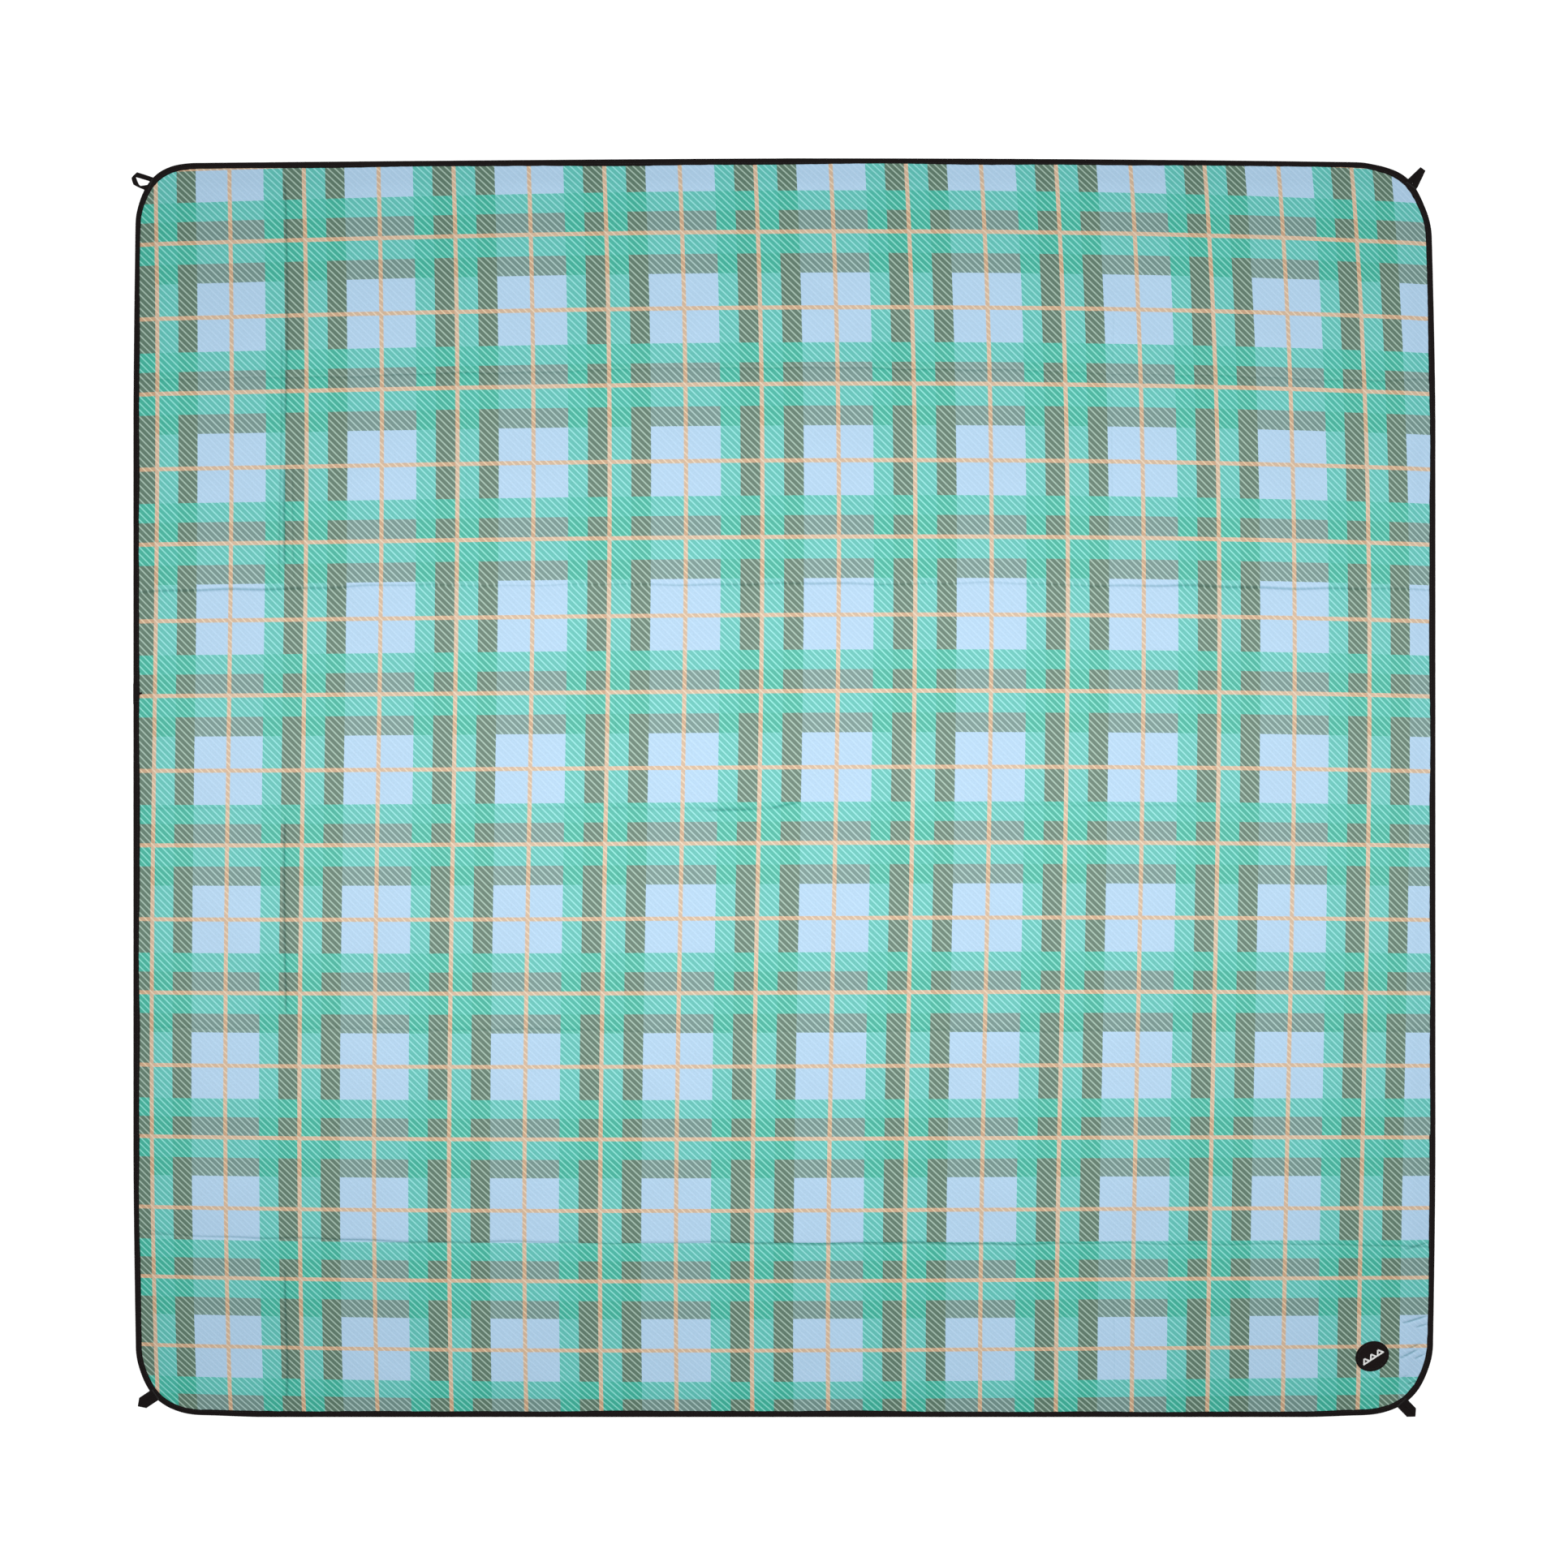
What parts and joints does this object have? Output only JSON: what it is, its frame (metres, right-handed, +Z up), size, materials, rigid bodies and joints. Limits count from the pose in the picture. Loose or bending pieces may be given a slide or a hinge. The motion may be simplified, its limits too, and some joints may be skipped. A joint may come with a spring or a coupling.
{
  "type": "camp blanket",
  "caption": "Padded plaid camp blanket laid flat: printed cloth, wadding and backing, a folded tape binding, peg loops at round corners and a sewn badge. It folds up along its creases.",
  "frame": {"origin": "centre of the underside of the blanket lying flat, on the ground", "axes": "+X runs along the folds to the right edge, +Y across the folds to the head edge, +Z up out of the printed face"},
  "size_m": [1.5532, 1.5008, 0.0048],
  "materials": {
    "printed_cloth": "matt brushed weave",
    "wadding": "soft fibre",
    "backing_cloth": "coated weave",
    "binding_tape": "matt tape weave",
    "loop_tape": "matt tape weave",
    "thread": "twisted thread",
    "badge_patch": "dense woven patch",
    "motif_thread": "satin thread"
  },
  "bodies": {
    "row_1": {"top_cloth_row1": "printed_cloth", "padding_row1": "wadding", "backing_row1": "backing_cloth", "binding_row1": "binding_tape", "seam_thread_row1": "thread", "loop_tails_head_left": "loop_tape", "bar_tack_head_left": "thread", "loop_tails_head_right": "loop_tape", "bar_tack_head_right": "thread"},
    "row_2": {"top_cloth_row2": "printed_cloth", "padding_row2": "wadding", "backing_row2": "backing_cloth", "binding_row2": "binding_tape", "seam_thread_row2": "thread"},
    "row_3": {"top_cloth_row3": "printed_cloth", "padding_row3": "wadding", "backing_row3": "backing_cloth", "binding_row3": "binding_tape", "seam_thread_row3": "thread", "binding_lap": "binding_tape", "lap_stitch": "thread"},
    "row_4": {"top_cloth_row4": "printed_cloth", "padding_row4": "wadding", "backing_row4": "backing_cloth", "binding_row4": "binding_tape", "seam_thread_row4": "thread"},
    "row_5": {"top_cloth_row5": "printed_cloth", "padding_row5": "wadding", "backing_row5": "backing_cloth", "binding_row5": "binding_tape", "seam_thread_row5": "thread"},
    "row_6": {"top_cloth_row6": "printed_cloth", "padding_row6": "wadding", "backing_row6": "backing_cloth", "binding_row6": "binding_tape", "seam_thread_row6": "thread", "loop_tails_foot_left": "loop_tape", "bar_tack_foot_left": "thread", "loop_tails_foot_right": "loop_tape", "bar_tack_foot_right": "thread", "badge": "badge_patch", "badge_stitch": "thread", "badge_motif": "motif_thread"},
    "loop_head_left": {"peg_loop_head_left": "loop_tape"},
    "loop_head_right": {"peg_loop_head_right": "loop_tape"},
    "loop_foot_left": {"peg_loop_foot_left": "loop_tape"},
    "loop_foot_right": {"peg_loop_foot_right": "loop_tape"}
  },
  "joints": [
    {"name": "fold_1", "type": "hinge", "parent": "row_2", "child": "row_1", "pos_m": [0, 0.494, 0.0053], "axis": [1, 0, 0], "range_deg": [0, 179.9]},
    {"name": "fold_2", "type": "hinge", "parent": "row_3", "child": "row_2", "pos_m": [0, 0.235, 0.00855], "axis": [1, 0, 0], "range_deg": [0, 179.9]},
    {"name": "fold_3", "type": "hinge", "parent": "row_3", "child": "row_4", "pos_m": [0, -0.024, 0.01835], "axis": [-1, 0, 0], "range_deg": [0, 179.9]},
    {"name": "fold_4", "type": "hinge", "parent": "row_4", "child": "row_5", "pos_m": [0, -0.283, 0.00855], "axis": [-1, 0, 0], "range_deg": [0, 179.9]},
    {"name": "fold_5", "type": "hinge", "parent": "row_5", "child": "row_6", "pos_m": [0, -0.542, 0.0053], "axis": [-1, 0, 0], "range_deg": [0, 179.9]},
    {"name": "swing_head_left", "type": "hinge", "parent": "row_1", "child": "loop_head_left", "pos_m": [-0.75853, 0.71974, 0.00347], "axis": [0.3584, 0.9336, 0], "range_deg": [0, 179.9]},
    {"name": "swing_head_right", "type": "hinge", "parent": "row_1", "child": "loop_head_right", "pos_m": [0.74965, 0.72003, 0.00347], "axis": [0.809, -0.5878, 0], "range_deg": [0, 179.9]},
    {"name": "swing_foot_left", "type": "hinge", "parent": "row_6", "child": "loop_foot_left", "pos_m": [-0.75195, -0.72483, 0.00347], "axis": [-0.5736, 0.8192, 0], "range_deg": [0, 179.9]},
    {"name": "swing_foot_right", "type": "hinge", "parent": "row_6", "child": "loop_foot_right", "pos_m": [0.73685, -0.73535, 0.00347], "axis": [-0.7314, -0.682, 0], "range_deg": [0, 179.9]}
  ]
}
